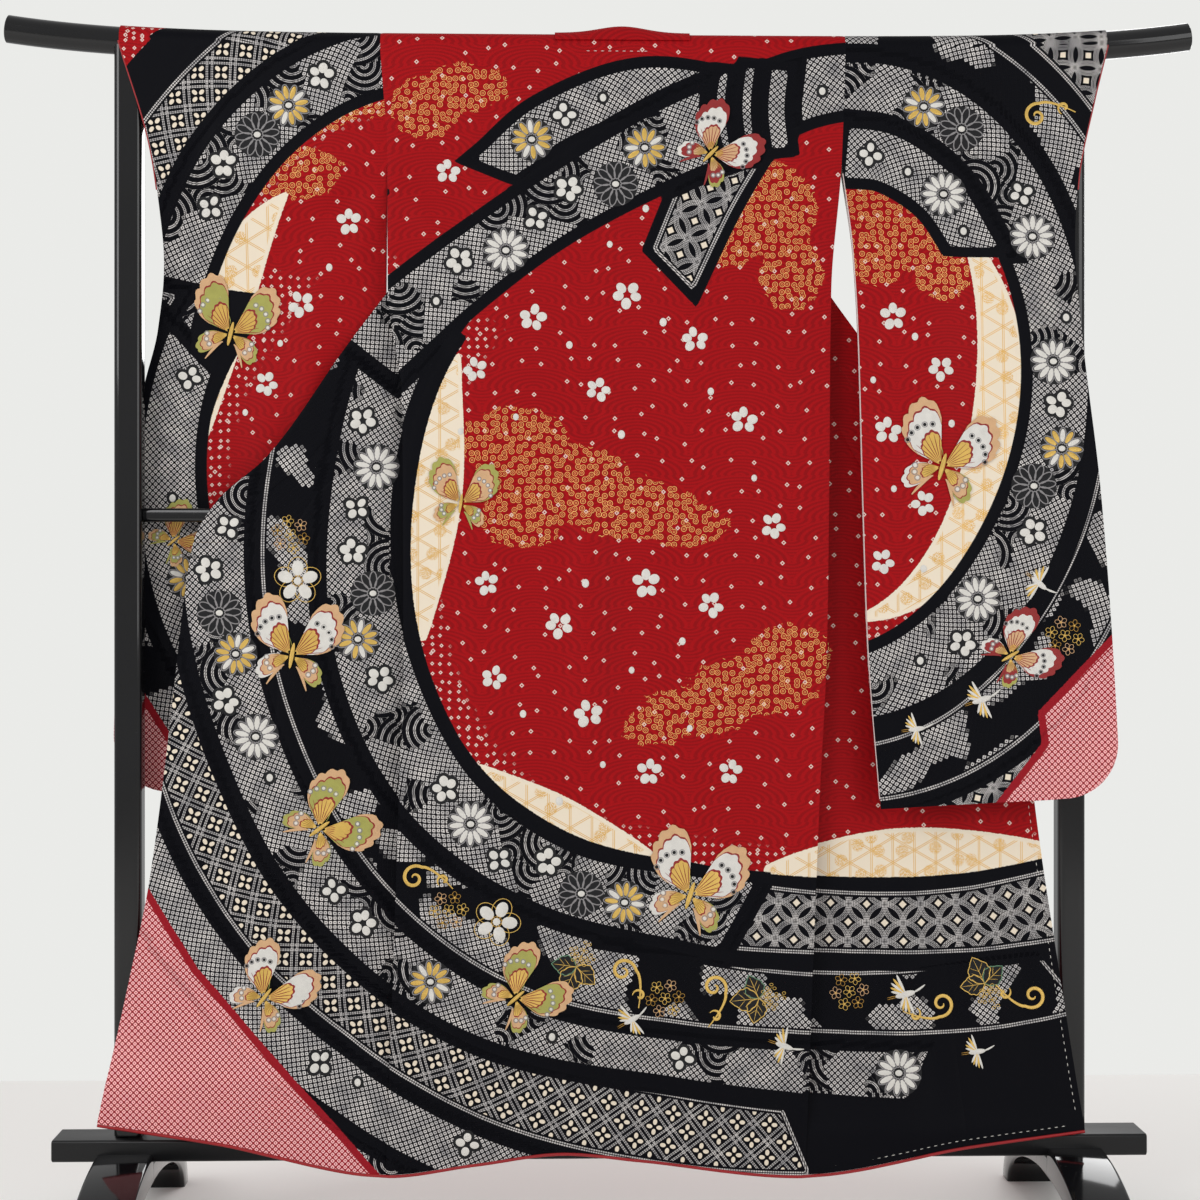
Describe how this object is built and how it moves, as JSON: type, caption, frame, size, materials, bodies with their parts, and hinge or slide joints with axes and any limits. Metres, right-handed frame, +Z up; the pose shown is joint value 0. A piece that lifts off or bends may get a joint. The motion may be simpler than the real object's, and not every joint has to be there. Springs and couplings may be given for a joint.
{
  "type": "furisode kimono on display stand",
  "caption": "Long-sleeved furisode kimono hung with its back to the viewer and fronts opened out, on a black lacquered kimono stand with a raised-end rail.",
  "frame": {"origin": "on the floor, in the middle of the stand, at the bottom centre of the whole", "axes": "+Z up, +Y away from the viewer of the garment's back, towards the side where the fronts hang, +X to that viewer's right along the rail"},
  "size_m": [1.6574, 0.52, 1.6888],
  "materials": {
    "silk_red": "crimson figured silk with a fine woven wave pattern, satin sheen",
    "silk_black": "black figured silk with white tie-dyed dots, satin sheen",
    "silk_lining": "plain white silk lining, shading to red near the hem",
    "silk_edge": "plain red silk, rolled and padded",
    "lacquer_gloss": "black lacquered wood, high gloss",
    "lacquer_satin": "black lacquered wood, satin"
  },
  "bodies": {
    "root": {"back_left": "silk_red", "back_right": "silk_red", "front_left": "silk_black", "front_right": "silk_red", "gore_left": "silk_black", "gore_right": "silk_black", "collar_left": "silk_black", "collar_right": "silk_red", "collar_neck": "silk_red", "sleeve_left_back": "silk_black", "sleeve_left_front": "silk_lining", "sleeve_right_back": "silk_black", "sleeve_right_front": "silk_lining", "hem_roll": "silk_edge", "top_rail": "lacquer_gloss", "post_left": "lacquer_gloss", "post_right": "lacquer_gloss", "middle_rail": "lacquer_gloss", "bottom_beam": "lacquer_satin", "foot_left": "lacquer_gloss", "foot_right": "lacquer_gloss"}
  },
  "joints": []
}
